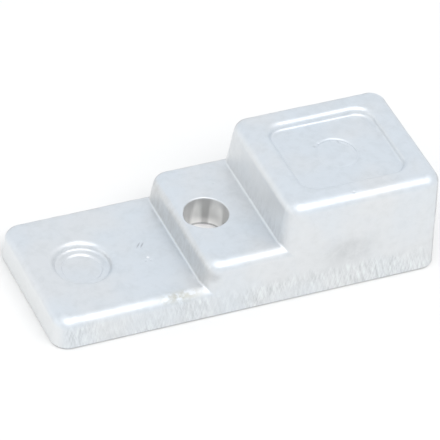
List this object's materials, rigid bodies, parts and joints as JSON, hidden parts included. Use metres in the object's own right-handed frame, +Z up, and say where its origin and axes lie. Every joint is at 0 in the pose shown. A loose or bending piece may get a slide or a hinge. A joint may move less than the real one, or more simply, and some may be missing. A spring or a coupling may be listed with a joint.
{
  "type": "sacrificial anode",
  "caption": "Stepped block of anode alloy, cast in one piece, that is screwed to a hull or an outboard bracket and corrodes in its place.",
  "frame": {"origin": "middle of the flat mounting face", "axes": "+X along the casting from the low step to the high one, +Z up out of the mounting face along the screw hole"},
  "size_m": [0.1, 0.0392, 0.0275],
  "materials": {
    "cast_aluminium": "as cast, satin"
  },
  "bodies": {
    "root": {"anode_casting": "cast_aluminium"}
  },
  "joints": []
}
